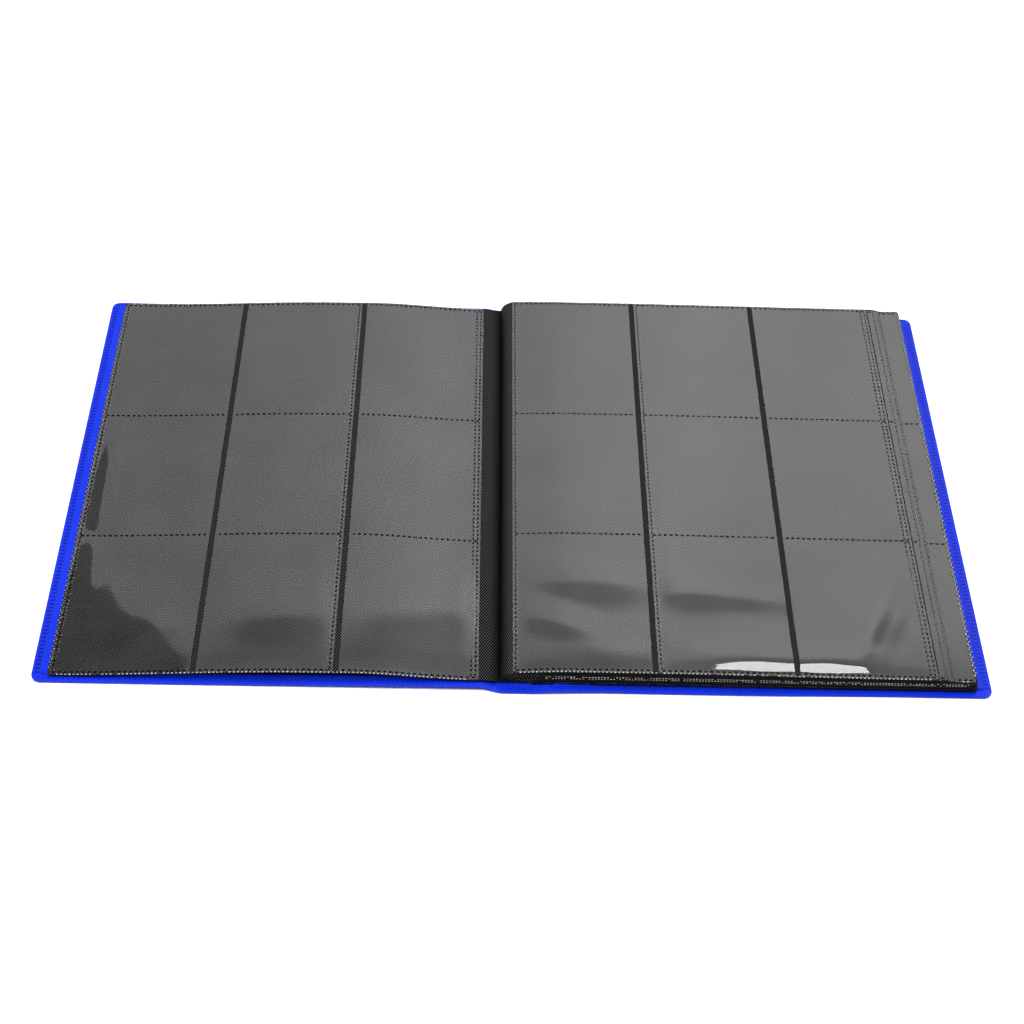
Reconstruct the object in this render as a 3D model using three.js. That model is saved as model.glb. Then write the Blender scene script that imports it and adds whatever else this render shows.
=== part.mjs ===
// Open side-loading card album: a welded two-layer cover (back panel, spine,
// front panel) with twenty double-sided nine-pocket pages bound to its spine.
// Millimetres. X runs across the open album from the spine's middle line,
// Y runs along the spine away from the reader, Z is up from the table.
import * as THREE from 'three';

// --- driving dimensions ------------------------------------------------------
const COVER_DEPTH = 291.0;        // along the spine
const COVER_EDGE_X = 237.1;       // spine middle to a cover's outer edge
const SPINE_CREASE_X = 10.0;      // spine middle to the crease each cover turns on
const CREASE_GAP = 0.6;           // living hinge left between two panels
const HINGE_STRIP_WIDTH = 6.5;    // unboarded strip between crease and board pocket
const COVER_CORNER_R = 5.0;
const SKIN_T = 0.5;
const BOARD_T = 1.3;
const LINER_T = 0.36;
const LAYER_GAP = 0.02;           // keeps touching layers apart as separate solids
const LIP = 1.6;                  // outer skin left showing beyond the lining
const WELD_FLANGE = 3.0;          // welded rim around each board pocket
const SPINE_FLANGE = 1.0;         // narrower rim beside the spine board
const PAN_WALL = 0.5;             // run of the step from rim up to the boarded middle
const FLANGE_TOP_Z = 1.15;        // rim is pressed thinner than the boarded middle

const PAGE_COUNT = 20;
const PAGE_DEPTH = 285.6;
const PAGE_CORNER_R = 3.0;
const PAGE_PITCH = 0.42;          // height each page takes in the stack
const BACKING_T = 0.16;
const FILM_T = 0.07;
const FILM_GAP = 0.01;
const PAGE_CLEAR = 0.2;           // lowest page above the cover lining
const COLUMN_PITCH = 70.1;        // one card column with its share of welds
const ENTRY_GAP = 3.0;            // bare backing where cards slide in sideways
const COLUMNS = 3;

const LEFT_PAGE_INNER_X = -17.6;  // where the left page's films begin
const LEFT_PAGE_OUTER_X = -229.0;
const TOP_PAGE_INNER_X = -0.8;    // where the right upper pages' films begin
const TOP_PAGE_OUTER_X = 209.6;
const LOW_PAGE_INNER_X = 12.4;    // rigid part of the lower pages
const LOW_PAGE_OUTER_X = 229.4;
const LOW_PAGE_CREEP_X = 0.06;     // each page above falls back this much
const UPPER_PAGE_REACH_X = [0, 4.1, 5.9, 7.6];  // how far pages 2 to 5 reach past page 2's edge

const NOSE_CENTRE_X = 2.0;        // the bound margins roll about this line
const NOSE_CENTRE_Z = 3.0;
const NOSE_STEPS = 7;
const TAPE_WIDTH = 5.0;
const TAPE_T = 0.45;
const TAPE_CENTRE_X = -2.0;

// --- derived heights ---------------------------------------------------------
const BOARD_Z = SKIN_T + LAYER_GAP;
const LINER_Z = BOARD_Z + BOARD_T + LAYER_GAP;
const COVER_TOP_Z = LINER_Z + LINER_T;
const SLAB_T = BACKING_T + 2 * (FILM_T + FILM_GAP);
const LOWEST_PAGE_Z = COVER_TOP_Z + PAGE_CLEAR + SLAB_T / 2;

// --- colours -----------------------------------------------------------------
const BLUE = 0x3048f0;
const DEEP_BLUE = 0x2238c8;
const BOARD_GREY = 0x8a8a86;
const BLACK = 0x1c1c1e;
const CLEAR_FILM = 0x6c6f74;

const album = new THREE.Group();
album.name = 'card_album';

function addMesh(name, geometry, colour) {
  const material = new THREE.MeshStandardMaterial({ color: colour, roughness: 0.45 });
  const mesh = new THREE.Mesh(geometry, material);
  mesh.name = name;
  album.add(mesh);
}

// Height of page number k lying in the right-hand stack, measured at its middle.
function rightLevel(k) {
  return LOWEST_PAGE_Z + PAGE_PITCH * (PAGE_COUNT - k);
}

// Rounded rectangle in plan; the radius of each corner can be switched off.
function outline(x0, x1, y0, y1, radius, roundLeft, roundRight) {
  const shape = new THREE.Shape();
  const left = roundLeft ? radius : 0;
  const right = roundRight ? radius : 0;
  shape.moveTo(x0 + left, y0);
  shape.lineTo(x1 - right, y0);
  if (right > 0) {
    shape.absarc(x1 - right, y0 + right, right, -Math.PI / 2, 0, false);
  }
  shape.lineTo(x1, y1 - right);
  if (right > 0) {
    shape.absarc(x1 - right, y1 - right, right, 0, Math.PI / 2, false);
  }
  shape.lineTo(x0 + left, y1);
  if (left > 0) {
    shape.absarc(x0 + left, y1 - left, left, Math.PI / 2, Math.PI, false);
  }
  shape.lineTo(x0, y0 + left);
  if (left > 0) {
    shape.absarc(x0 + left, y0 + left, left, Math.PI, Math.PI * 1.5, false);
  }
  return shape;
}

// Flat sheet of one thickness standing on height z.
function sheet(shape, z, thickness) {
  const geometry = new THREE.ExtrudeGeometry(shape, {
    depth: thickness,
    bevelEnabled: false,
    curveSegments: 5,
  });
  geometry.translate(0, 0, z);
  return geometry;
}

// Profile in X-Z swept along the whole depth of a page or cover.
function alongSpine(points, depth) {
  const shape = new THREE.Shape(points);
  const geometry = new THREE.ExtrudeGeometry(shape, { depth, bevelEnabled: false });
  geometry.rotateX(Math.PI / 2);
  geometry.translate(0, depth / 2, 0);
  return geometry;
}

// --- cover -------------------------------------------------------------------
// A lining pan: flat over the board, stepping down to the welded rim around it.
// It is drawn as stacked terraces so the whole pan stays one closed solid.
function liningPan(x0, x1, depth, flange) {
  const innerX0 = x0 + flange;
  const innerX1 = x1 - flange;
  const halfY = depth / 2;
  const innerY = halfY - WELD_FLANGE;
  const wall = PAN_WALL;
  const points = [];
  const faces = [];
  const ring = (xa, xb, hy, z) => {
    const first = points.length / 3;
    points.push(xa, -hy, z, xb, -hy, z, xb, hy, z, xa, hy, z);
    return first;
  };
  const strip = (a, b) => {
    for (let i = 0; i < 4; i += 1) {
      const j = (i + 1) % 4;
      faces.push(a + i, a + j, b + j, a + i, b + j, b + i);
    }
  };
  const underRim = ring(x0, x1, halfY, BOARD_Z);
  const rimTop = ring(x0, x1, halfY, FLANGE_TOP_Z);
  const stepFoot = ring(innerX0 - wall, innerX1 + wall, innerY + wall, FLANGE_TOP_Z);
  const stepTop = ring(innerX0, innerX1, innerY, COVER_TOP_Z);
  const cavityTop = ring(innerX0 + wall, innerX1 - wall, innerY - wall, LINER_Z);
  const cavityFoot = ring(innerX0 + wall, innerX1 - wall, innerY - wall, BOARD_Z);
  strip(underRim, rimTop);
  strip(rimTop, stepFoot);
  strip(stepFoot, stepTop);
  strip(cavityFoot, underRim);
  strip(cavityTop, cavityFoot);
  faces.push(stepTop, stepTop + 1, stepTop + 2, stepTop, stepTop + 2, stepTop + 3);
  faces.push(cavityTop, cavityTop + 2, cavityTop + 1, cavityTop, cavityTop + 3, cavityTop + 2);
  const geometry = new THREE.BufferGeometry();
  geometry.setAttribute('position', new THREE.Float32BufferAttribute(points, 3));
  geometry.setIndex(faces);
  return geometry;
}

// One boarded panel: outer skin, stiff board and lining pan.
function coverPanel(prefix, x0, x1, flange, roundLeft, roundRight) {
  const halfY = COVER_DEPTH / 2;
  const plan = outline(x0, x1, -halfY, halfY, COVER_CORNER_R, roundLeft, roundRight);
  addMesh(`${prefix}_outer_skin`, sheet(plan, 0, SKIN_T), BLUE);
  const panX0 = roundLeft ? x0 + LIP : x0;
  const panX1 = roundRight ? x1 - LIP : x1;
  const pan = liningPan(panX0, panX1, COVER_DEPTH - 2 * LIP, flange);
  addMesh(`${prefix}_lining`, pan, BLUE);
  const insetX = flange + PAN_WALL + LAYER_GAP;
  const boardY = halfY - LIP - WELD_FLANGE - PAN_WALL - LAYER_GAP;
  const boardPlan = outline(panX0 + insetX, panX1 - insetX, -boardY, boardY, 0, false, false);
  addMesh(`${prefix}_board`, sheet(boardPlan, BOARD_Z, BOARD_T), BOARD_GREY);
}

// Unboarded double skin between a crease and the board pocket.
function hingeStrip(name, x0, x1) {
  const halfY = COVER_DEPTH / 2;
  const plan = outline(x0, x1, -halfY, halfY, 0, false, false);
  addMesh(name, sheet(plan, 0, SKIN_T * 2), DEEP_BLUE);
}

function buildCover() {
  const crease = SPINE_CREASE_X + CREASE_GAP / 2;
  const panelStart = crease + HINGE_STRIP_WIDTH;
  const panelEdge = panelStart + LAYER_GAP;
  coverPanel('back', panelEdge, COVER_EDGE_X, WELD_FLANGE, false, true);
  coverPanel('front', -COVER_EDGE_X, -panelEdge, WELD_FLANGE, true, false);
  coverPanel('spine', CREASE_GAP - crease, crease - CREASE_GAP, SPINE_FLANGE, false, false);
  hingeStrip('back_hinge_strip', crease, panelStart);
  hingeStrip('front_hinge_strip', -panelStart, -crease);
  const tapeX0 = TAPE_CENTRE_X - TAPE_WIDTH / 2;
  const tapePlan = outline(tapeX0, tapeX0 + TAPE_WIDTH, -138, 138, 0, false, false);
  addMesh('binding_tape', sheet(tapePlan, COVER_TOP_Z + LAYER_GAP, TAPE_T), BLACK);
}

// --- pages -------------------------------------------------------------------
// A page shown in full: backing sheet with three clear films on each side. Every
// column is open along one edge, where a strip of the backing stays bare.
function pocketPage(name, innerX, outerX, z) {
  const halfY = PAGE_DEPTH / 2;
  const toRight = outerX > innerX;
  const x0 = Math.min(innerX, outerX);
  const x1 = Math.max(innerX, outerX);
  const plan = outline(x0, x1, -halfY, halfY, PAGE_CORNER_R, !toRight, toRight);
  addMesh(`${name}_backing`, sheet(plan, z - BACKING_T / 2, BACKING_T), BLACK);
  const direction = toRight ? 1 : -1;
  const filmOffset = BACKING_T / 2 + FILM_GAP;
  for (let column = 0; column < COLUMNS; column += 1) {
    const start = innerX + direction * (column * COLUMN_PITCH + (column > 0 ? ENTRY_GAP / 2 : 0));
    const last = column === COLUMNS - 1;
    const end = last ? outerX - direction * 0.6 : start + direction * columnWidth(column);
    const a = Math.min(start, end);
    const b = Math.max(start, end);
    const edge = halfY - 0.6;
    const film = outline(a, b, -edge, edge, PAGE_CORNER_R, last && !toRight, last && toRight);
    addMesh(`${name}_front_film_${column + 1}`, sheet(film, z + filmOffset, FILM_T), CLEAR_FILM);
    addMesh(`${name}_back_film_${column + 1}`, sheet(film, z - filmOffset - FILM_T, FILM_T), CLEAR_FILM);
  }
}

// Film width of a column that ends at a bare entry strip.
function columnWidth(column) {
  return COLUMN_PITCH - ENTRY_GAP * (column > 0 ? 1 : 0.5);
}

// A page deeper in the stack: backing and films as one laminated sheet.
function laminatedPage(name, innerX, outerX, z) {
  const halfY = PAGE_DEPTH / 2;
  const plan = outline(innerX, outerX, -halfY, halfY, PAGE_CORNER_R, false, true);
  addMesh(name, sheet(plan, z - SLAB_T / 2, SLAB_T), BLACK);
}

// A bound margin: leaves the page level at startX and rolls round the nose down
// to the spine. low and high are the band's two heights where it is flat.
function rolledMargin(name, startX, low, high) {
  const outerR = high - NOSE_CENTRE_Z;
  const innerR = low - NOSE_CENTRE_Z;
  const topAngle = startX < NOSE_CENTRE_X
    ? Math.acos((startX - NOSE_CENTRE_X) / outerR)
    : Math.PI / 2;
  const points = [];
  if (startX > NOSE_CENTRE_X) {
    points.push(new THREE.Vector2(startX, high));
  }
  for (let i = 0; i <= NOSE_STEPS; i += 1) {
    const angle = topAngle + (Math.PI - topAngle) * (i / NOSE_STEPS);
    points.push(nosePoint(outerR, angle));
  }
  for (let i = NOSE_STEPS; i >= 0; i -= 1) {
    const angle = topAngle + (Math.PI - topAngle) * (i / NOSE_STEPS);
    points.push(nosePoint(innerR, angle));
  }
  if (startX > NOSE_CENTRE_X) {
    points.push(new THREE.Vector2(startX, low));
  }
  addMesh(name, alongSpine(points, PAGE_DEPTH - 2), BLACK);
}

function nosePoint(radius, angle) {
  const x = NOSE_CENTRE_X + radius * Math.cos(angle);
  const z = NOSE_CENTRE_Z + radius * Math.sin(angle);
  return new THREE.Vector2(x, z);
}

// The lowest margins lie flat and end in a rounded edge inside the nose.
function flatMargin(name, startX, low, high) {
  const radius = (high - low) / 2;
  const middle = (high + low) / 2;
  const points = [new THREE.Vector2(startX, high)];
  for (let i = 0; i <= NOSE_STEPS; i += 1) {
    const angle = Math.PI / 2 + Math.PI * (i / NOSE_STEPS);
    const x = NOSE_CENTRE_X + radius * Math.cos(angle);
    points.push(new THREE.Vector2(x, middle + radius * Math.sin(angle)));
  }
  points.push(new THREE.Vector2(startX, low));
  addMesh(name, alongSpine(points, PAGE_DEPTH - 2), BLACK);
}

function buildLeftPage() {
  const z = LOWEST_PAGE_Z;
  pocketPage('page_01', LEFT_PAGE_INNER_X, LEFT_PAGE_OUTER_X, z);
  const halfY = PAGE_DEPTH / 2 - 1;
  const marginPlan = outline(LEFT_PAGE_INNER_X + 0.1, -5.7, -halfY, halfY, 0, false, false);
  addMesh('page_01_margin', sheet(marginPlan, z - BACKING_T / 2, BACKING_T), BLACK);
}

function buildUpperPages() {
  const half = SLAB_T / 2;
  pocketPage('page_02', TOP_PAGE_INNER_X, TOP_PAGE_OUTER_X, rightLevel(2));
  for (let k = 3; k <= 5; k += 1) {
    const number = String(k).padStart(2, '0');
    const outerX = TOP_PAGE_OUTER_X + UPPER_PAGE_REACH_X[k - 2];
    laminatedPage(`page_${number}`, TOP_PAGE_INNER_X, outerX, rightLevel(k));
  }
  for (let k = 2; k <= 5; k += 1) {
    const number = String(k).padStart(2, '0');
    const z = rightLevel(k);
    rolledMargin(`page_${number}_margin`, TOP_PAGE_INNER_X - 0.2, z - half, z + half);
  }
}

// Pages 6 to 20 turn in three gathered signatures of five.
function buildSignatures() {
  const half = SLAB_T / 2;
  for (let k = 6; k <= PAGE_COUNT; k += 1) {
    const number = String(k).padStart(2, '0');
    const creep = LOW_PAGE_CREEP_X * (PAGE_COUNT - k);
    laminatedPage(`page_${number}`, LOW_PAGE_INNER_X, LOW_PAGE_OUTER_X - creep, rightLevel(k));
  }
  const startX = LOW_PAGE_INNER_X - 0.1;
  rolledMargin('signature_2_margin', startX, rightLevel(10) - half, rightLevel(6) + half);
  rolledMargin('signature_3_margin', startX, rightLevel(15) - half, rightLevel(11) + half);
  flatMargin('signature_4_margin', startX, rightLevel(20) - half, rightLevel(16) + half);
}

buildCover();
buildLeftPage();
buildUpperPages();
buildSignatures();

export default album;
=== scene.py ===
"""Looks for an open side-loading card album: blue welded cover, black twill pages under clear film."""
import math
import random

import bpy
from mathutils import Matrix, Vector, noise


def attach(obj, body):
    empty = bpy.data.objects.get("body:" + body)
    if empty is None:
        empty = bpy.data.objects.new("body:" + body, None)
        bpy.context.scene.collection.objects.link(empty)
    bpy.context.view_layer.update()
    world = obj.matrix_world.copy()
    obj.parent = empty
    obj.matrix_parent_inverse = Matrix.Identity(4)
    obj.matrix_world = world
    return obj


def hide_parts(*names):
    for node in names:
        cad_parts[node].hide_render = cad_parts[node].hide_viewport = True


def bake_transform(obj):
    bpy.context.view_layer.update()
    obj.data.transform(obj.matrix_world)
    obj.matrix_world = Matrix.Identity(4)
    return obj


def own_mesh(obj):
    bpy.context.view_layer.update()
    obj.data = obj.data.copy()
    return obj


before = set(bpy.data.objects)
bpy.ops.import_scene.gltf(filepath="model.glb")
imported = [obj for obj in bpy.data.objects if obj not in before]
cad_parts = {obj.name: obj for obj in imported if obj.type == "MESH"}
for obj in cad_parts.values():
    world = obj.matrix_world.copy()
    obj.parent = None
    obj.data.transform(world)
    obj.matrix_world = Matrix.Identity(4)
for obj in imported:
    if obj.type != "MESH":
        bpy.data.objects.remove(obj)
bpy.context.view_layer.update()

MM = 0.001
SHARP_ANGLE = math.radians(35)

# --- sizes, in millimetres ------------------------------------------------------------------------
# The cover: its outline, its creases, its heights, and the widths of its rim and rounded edges.
COVER_HALF_DEPTH = 145.5
COVER_EDGE = 237.1
COVER_CORNER = 5.0
CREASE = 10.0
PANEL_START = 16.8
COVER_TOP = 2.20
RIM_TOP = 1.15
SPINE_RIM_TOP = 1.05
RIM_WIDTH = 3.85
INNER_WELD_WIDTH = 2.3
PAD_SLOPE = 1.15
EDGE_ROUND = 0.25
EDGE_ROUND_WIDTH = 0.7
UNDER_ROUND = 0.16
UNDER_ROUND_WIDTH = 0.6
SPINE_GAP = 0.6
HINGE_THICKNESS = 1.0
GROOVE_DEPTH = 0.16
GROOVE_WIDTH = 0.7
HINGE_LAP_PANEL = 0.3
HINGE_LAP_SPINE = 0.9
# Distances in from a panel's edges where its mesh has extra lines.
PANEL_EDGE_LINES = (0.25, 0.6, 1.4, 2.3, 2.9, 3.45, 3.85, 4.2, 4.6, 5.0)

# How far the panels lift towards the spine, and how far the near edge swings out there.
FRONT_LIFT = 1.5
BACK_LIFT = 1.0
NEAR_SWING = 1.9

# The boards inside the panels.
BOARD_INNER = 20.6
BOARD_OUTER = 231.8
BOARD_HALF_DEPTH = 140.2
BOARD_BOTTOM = 0.54
BOARD_TOP = 1.78
SPINE_BOARD_HALF = 8.0

# The pages: their layers, their pocket columns and rows, and where each one starts and ends.
PAGE_COUNT = 20
PAGE_HALF_DEPTH = 142.8
PAGE_CORNER = 1.4
PAGE_PITCH = 0.42
LOWEST_PAGE = 2.56
BACKING = 0.16
FILM = 0.07
FILM_CLEARANCE = 0.01
FILM_INSET = 0.6
COLUMN_PITCH = 70.1
ENTRY_GAP = 3.0
BARE_EDGE = 0.6
NARROW_BARE_EDGE = 0.15
ROW_WELDS = (-48.0, 44.9)
LEFT_INNER = -17.6
LEFT_WIDTH = 211.4
RIGHT_INNER = -0.8
RIGHT_WIDTH = 210.4
UPPER_STEPS = (0.0, 4.1, 5.9, 7.6)
LOW_INNER = 12.4
LOWER_OUTER = 229.4
LOWER_CREEP = 0.06
LEFT_ARCH = 3.9
LEFT_TILT = 0.35
RIGHT_ARCH = 1.1
NEAR_FULLNESS = 0.35
OPEN_PAGES = (1, 2, 6)

# The bound margins: the left one's width and end height, the line where the two sides meet, and
# the nose that the right-hand ones are rolled round.
LEFT_MARGIN_WIDTH = 12.4
LEFT_MARGIN_END = 2.75
FOLD_X = -7.4
# How far the painted shade at the fold line reaches to either side of it.
FOLD_SHADE_WIDTH = 5.0
NOSE_X = 2.0
NOSE_Z = 3.0
NOSE_SWELL = 1.3
FLAP_POINTS = 3

# The embossed twill: the spacing of its ribs across and along the page, in metres.
RIB_X = 1.35 * MM
RIB_Y = 2.2 * MM
FLOAT_SHARE = 0.25
CLOUD_SHARE = 0.3

# A clear film mirrors at both its faces.
FILM_FACES = 2.0

# How the loose film rises from its welds, quickly at the right-hand pages' near edge, and the
# spacing of its mesh.
FILM_WELD_INSET = 1.6
SOFT_RISE = 14
STEEP_RISE = 6
STEEP_ZONE = 12
FINE_STEP = 2.6
COARSE_STEP = 6.0

# Weld dashes and bars. A bar, crimp glint or bead is (length, width, thickness). The double and the
# hidden column lines are (page, column), and a line of crimp glints is (offset, share of the dash pitch).
DASH_PITCH = 2.86
DASH_LENGTH = 1.65
DASH_THICKNESS = 0.05
ROW_DASH_WIDTH = 1.15
COLUMN_DASH_PITCH = 2.98
EDGE_ROW_INSET = 1.9
DOUBLE_LINES = ((1, 0), (2, 2))
DOUBLE_LINE_GAP = 2.2
HIDDEN_LINE = (4, 2)
# Crimp glints are pale pads beside the page welds, painted highlights for the crimped film.
CRIMP_GLINT_LINES = ((1.0, 0.8), (-0.8, 1.3))
CRIMP_GLINT = (0.7, 0.24, 0.04)
CRIMP_GLINT_SHARE = 0.7
RIM_BAR_PITCH = 2.48
RIM_BAR = (2.1, 1.2, 0.05)
END_BAR = (2.1, 1.0, 0.04)
POCKET_BAR = (1.9, 0.7, 0.05)
RIM_ROW_INSET = 2.5
SPINE_ROW_INSET = 2.1
POCKET_ROW_INSET = 1.3

# Rows of melted beads: (bead, pitch, share of the beads that are there).
OPEN_BEADS = ((0.85, 0.5, 0.11), 2.0, 0.9)
STACK_BEADS = ((0.9, 0.4, 0.13), 1.5, 0.85)

# The zigzag of beads down a page's outer edge.
ZIGZAG_PITCH = 1.7
ZIGZAG_SWING = 0.35
ZIGZAG_TURNS = (2.3, 0.8)
ZIGZAG_BEAD = (1.1, 0.42, 0.08)
ZIGZAG_BEAD_LEFT = (0.8, 0.26, 0.08)


def level(k):
    """Middle height of page k in the right-hand stack, or of page 1 on the left."""
    return LOWEST_PAGE if k == 1 else LOWEST_PAGE + PAGE_PITCH * (PAGE_COUNT - k)


def direction(k):
    """-1 for the page that lies left of the spine, 1 for those on its right."""
    return -1 if k == 1 else 1


def outer_side(sign):
    """The x side of a box that is away from the spine, as round_corner names it."""
    return ("high",) if sign > 0 else ("low",)


def inner_edge(k):
    """Where page k starts, at its bound margin."""
    return LEFT_INNER if k == 1 else RIGHT_INNER if k <= 5 else LOW_INNER


def outer_edge(k):
    """Where page k ends, measured from the spine's middle line."""
    if k == 1:
        return LEFT_INNER - LEFT_WIDTH
    if k <= 5:
        return RIGHT_INNER + RIGHT_WIDTH + UPPER_STEPS[k - 2]
    return LOWER_OUTER - LOWER_CREEP * (PAGE_COUNT - k)


def page_body(k):
    """The CAD body that page k turns with."""
    if k <= 4:
        return f"page_{k:02d}"
    if k == 5:
        return "upper_binding"
    return "signature_2" if k <= 10 else "signature_3" if k <= 15 else "signature_4"


def smooth(t):
    """0 below 0, 1 above 1, and an S-shaped curve between."""
    t = min(1.0, max(0.0, t))
    return t * t * (3 - 2 * t)


def rise(value, start, length):
    """0 up to start and 1 past start + length, smooth between."""
    return smooth((value - start) / length)


# --- materials ------------------------------------------------------------------------------------
class Nodes:
    """A new material's node tree with short calls to add and join nodes."""

    def __init__(self, name):
        self.material = bpy.data.materials.new(name)
        self.material.use_nodes = True
        self.tree = self.material.node_tree
        self.tree.nodes.clear()
        self.output = self.add("ShaderNodeOutputMaterial")

    def add(self, kind, **values):
        node = self.tree.nodes.new(kind)
        for key, value in values.items():
            if key in node.inputs:
                node.inputs[key].default_value = value
            else:
                setattr(node, key, value)
        return node

    def join(self, a, out, b, into):
        self.tree.links.new(a.outputs[out], b.inputs[into])

    def coords(self):
        return self.add("ShaderNodeTexCoord")

    def ramp(self, source, out, stops):
        ramp = self.add("ShaderNodeValToRGB")
        while len(ramp.color_ramp.elements) < len(stops):
            ramp.color_ramp.elements.new(0.5)
        for element, (at, colour) in zip(ramp.color_ramp.elements, stops):
            element.position = at
            element.color = (*colour, 1)
        self.join(source, out, ramp, "Fac")
        return ramp

    def noise(self, coords, scale, detail=4.0):
        node = self.add("ShaderNodeTexNoise", Scale=scale, Detail=detail)
        self.join(coords, "Object", node, "Vector")
        return node

    def bump(self, source, out, distance, strength=1.0):
        node = self.add("ShaderNodeBump", Distance=distance, Strength=strength)
        self.join(source, out, node, "Height")
        return node


def grey(v):
    """A neutral colour."""
    return (v, v, v)


def twill_height(n, coords, lean, fall=0.0):
    """Diagonal ribs broken into short floats. fall carries the ribs on down a rounded fold."""
    split = n.add("ShaderNodeSeparateXYZ")
    n.join(coords, "Object", split, "Vector")
    across = n.add("ShaderNodeMath", operation="MULTIPLY_ADD")
    across.inputs[1].default_value = fall
    n.join(split, "Z", across, 0)
    n.join(split, "X", across, 2)

    def wave(kx, ky):
        a = n.add("ShaderNodeMath", operation="MULTIPLY")
        a.inputs[1].default_value = kx
        n.join(across, 0, a, 0)
        b = n.add("ShaderNodeMath", operation="MULTIPLY_ADD")
        b.inputs[1].default_value = ky
        n.join(split, "Y", b, 0)
        n.join(a, 0, b, 2)
        s = n.add("ShaderNodeMath", operation="SINE")
        n.join(b, 0, s, 0)
        return s

    turn = 2 * math.pi
    ribs = wave(lean * turn / RIB_X, turn / RIB_Y)
    floats = wave(-lean * turn / RIB_X, turn / RIB_Y)
    mix = n.add("ShaderNodeMath", operation="MULTIPLY_ADD")
    mix.inputs[1].default_value = FLOAT_SHARE
    n.join(floats, 0, mix, 0)
    n.join(ribs, 0, mix, 2)
    return mix


def twill_material(name, lean, low, high, fall=0.0, fold=False):
    """Black embossed backing film. low and high are the tones of grooves and ribs: painted shade in
    the grooves and painted highlights on the ribs. With fold the sheet darkens towards the line where
    the two margins meet, painted shade for the crease."""
    n = Nodes(name)
    coords = n.coords()
    height = twill_height(n, coords, lean, fall)
    cloud = n.noise(coords, 24.0)
    # Painted light: the ribs take the lighter tone and the grooves the darker, painted highlights and
    # painted shade.
    shade = n.ramp(height, 0, [(0.6, grey(low)), (1.0, grey(high))])
    tone = n.add("ShaderNodeMix", data_type="RGBA", blend_type="MULTIPLY")
    tone.inputs[0].default_value = CLOUD_SHARE
    n.join(shade, "Color", tone, 6)
    n.join(cloud, "Fac", tone, 7)
    colour = (tone, 2)
    # Painted shade: within FOLD_SHADE_WIDTH of the fold line the colour is multiplied down to near black,
    # for the shadow in the crease.
    if fold:
        split = n.add("ShaderNodeSeparateXYZ")
        n.join(coords, "Object", split, "Vector")
        reach = n.add("ShaderNodeMath", operation="ADD")
        reach.inputs[1].default_value = -FOLD_X * MM
        n.join(split, "X", reach, 0)
        far = n.add("ShaderNodeMath", operation="ABSOLUTE")
        n.join(reach, 0, far, 0)
        scaled = n.add("ShaderNodeMath", operation="MULTIPLY")
        scaled.inputs[1].default_value = 1 / (FOLD_SHADE_WIDTH * MM)
        n.join(far, 0, scaled, 0)
        deep = n.ramp(scaled, 0, [(0.0, grey(0.04)), (0.35, grey(0.35)), (1.0, grey(1.0))])
        crease_shaded = n.add("ShaderNodeMix", data_type="RGBA", blend_type="MULTIPLY")
        crease_shaded.inputs[0].default_value = 1.0
        n.join(tone, 2, crease_shaded, 6)
        n.join(deep, "Color", crease_shaded, 7)
        colour = (crease_shaded, 2)
    rough = n.ramp(cloud, "Fac", [(0.3, grey(0.42)), (0.7, grey(0.56))])
    bump = n.bump(height, 0, 0.00006, 1.0)
    shader = n.add("ShaderNodeBsdfPrincipled")
    shader.inputs["Specular IOR Level"].default_value = 0.04
    n.join(colour[0], colour[1], shader, "Base Color")
    n.join(rough, "Color", shader, "Roughness")
    n.join(bump, 0, shader, "Normal")
    n.join(shader, 0, n.output, "Surface")
    return n.material


def edge_material():
    """Cut page edges: plain black."""
    n = Nodes("page_edge")
    cloud = n.noise(n.coords(), 160.0)
    tone = n.ramp(cloud, "Fac", [(0.35, grey(0.002)), (0.7, grey(0.012))])
    shader = n.add("ShaderNodeBsdfPrincipled", Roughness=0.5)
    shader.inputs["Specular IOR Level"].default_value = 0.15
    n.join(tone, "Color", shader, "Base Color")
    n.join(shader, 0, n.output, "Surface")
    return n.material


def film_material():
    """Clear pocket film: mostly see-through, a sharp sheen, faint haze and scuffs."""
    n = Nodes("clear_film")
    coords = n.coords()
    clear = n.add("ShaderNodeBsdfTransparent")
    gloss = n.add("ShaderNodeBsdfGlossy", Roughness=0.04)
    fresnel = n.add("ShaderNodeFresnel", IOR=1.52)
    side = n.add("ShaderNodeNewGeometry")
    front = n.add("ShaderNodeMath", operation="SUBTRACT")
    front.inputs[0].default_value = 1.0
    n.join(side, "Backfacing", front, 1)
    both = n.add("ShaderNodeMath", operation="MULTIPLY")
    both.inputs[1].default_value = FILM_FACES
    n.join(fresnel, 0, both, 0)
    share = n.add("ShaderNodeMath", operation="MULTIPLY")
    n.join(both, 0, share, 0)
    n.join(front, 0, share, 1)
    sheen = n.add("ShaderNodeMixShader")
    n.join(share, 0, sheen, 0)
    n.join(clear, 0, sheen, 1)
    n.join(gloss, 0, sheen, 2)
    haze = n.add("ShaderNodeBsdfDiffuse", Color=(0.75, 0.77, 0.8, 1))
    cloud = n.noise(coords, 30.0, 5.0)
    amount = n.ramp(cloud, "Fac", [(0.35, grey(0.001)), (0.75, grey(0.008))])
    veil = n.add("ShaderNodeMixShader")
    n.join(amount, "Color", veil, 0)
    n.join(sheen, 0, veil, 1)
    n.join(haze, 0, veil, 2)
    n.join(veil, 0, n.output, "Surface")
    return n.material


def weld_material(name, low, high):
    """The pressed dashes: film melted into the backing, darker and less glossy."""
    n = Nodes(name)
    coords = n.coords()
    cloud = n.noise(coords, 700.0)
    tone = n.ramp(cloud, "Fac", [(0.3, grey(low)), (0.8, grey(high))])
    shader = n.add("ShaderNodeBsdfPrincipled", Roughness=0.5)
    shader.inputs["Specular IOR Level"].default_value = 0.08
    n.join(tone, "Color", shader, "Base Color")
    n.join(n.bump(cloud, "Fac", 0.00004), 0, shader, "Normal")
    n.join(shader, 0, n.output, "Surface")
    return n.material


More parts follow.
